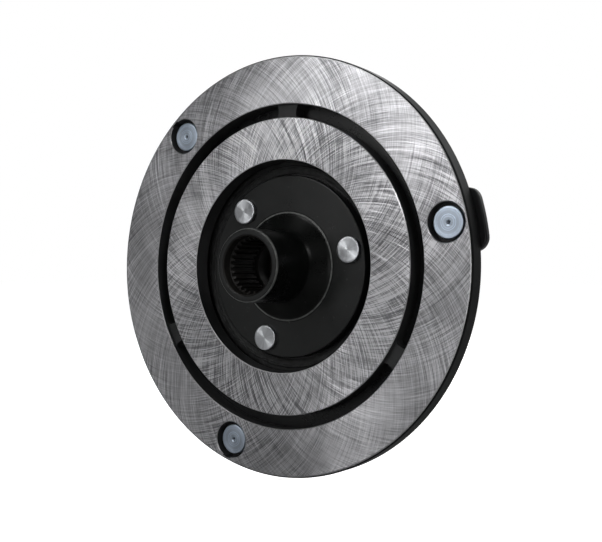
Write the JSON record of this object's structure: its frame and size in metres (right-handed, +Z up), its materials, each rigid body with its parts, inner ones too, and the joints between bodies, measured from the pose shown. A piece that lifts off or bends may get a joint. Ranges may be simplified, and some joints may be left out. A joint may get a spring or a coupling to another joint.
{
  "type": "electromagnetic clutch hub and armature",
  "caption": "Driven half of a compressor clutch: slotted friction disc, eared driver plate and rubber damper on a splined, riveted hub.",
  "frame": {"origin": "on the axis of rotation, in the plane of the armature's friction face", "axes": "+Y along the axis of rotation, from the friction face towards the shaft bolt; -Y is the splined boss and the rotor; +Z up"},
  "size_m": [0.1139, 0.0287, 0.1127],
  "materials": {
    "friction_steel": "ground with fine crossed arcs",
    "black_steel": "satin black coat",
    "black_hub": "satin black phosphate",
    "rubber": "moulded, matte",
    "bright_rivet": "turned, bright",
    "zinc_rivet": "turned, zinc plated"
  },
  "bodies": {
    "hub": {"splined_hub": "black_hub", "inner_plate": "black_steel", "inner_rivet_1": "bright_rivet", "inner_rivet_2": "bright_rivet", "inner_rivet_3": "bright_rivet"},
    "damper": {"damper_rubber": "rubber"},
    "armature": {"armature_plate": "friction_steel", "outer_plate": "black_steel", "outer_rivet_1": "zinc_rivet", "outer_rivet_2": "zinc_rivet", "outer_rivet_3": "zinc_rivet"}
  },
  "joints": [
    {"name": "damper_twist", "type": "hinge", "parent": "hub", "child": "damper", "pos_m": [0, 0, 0], "axis": [0, 1, 0], "range_deg": [-4, 4], "stiffness_Nm_per_rad": 100},
    {"name": "armature_travel", "type": "slide", "parent": "damper", "child": "armature", "axis": [0, -1, 0], "range_m": [0, 0.0005], "stiffness_N_per_m": 40000}
  ]
}
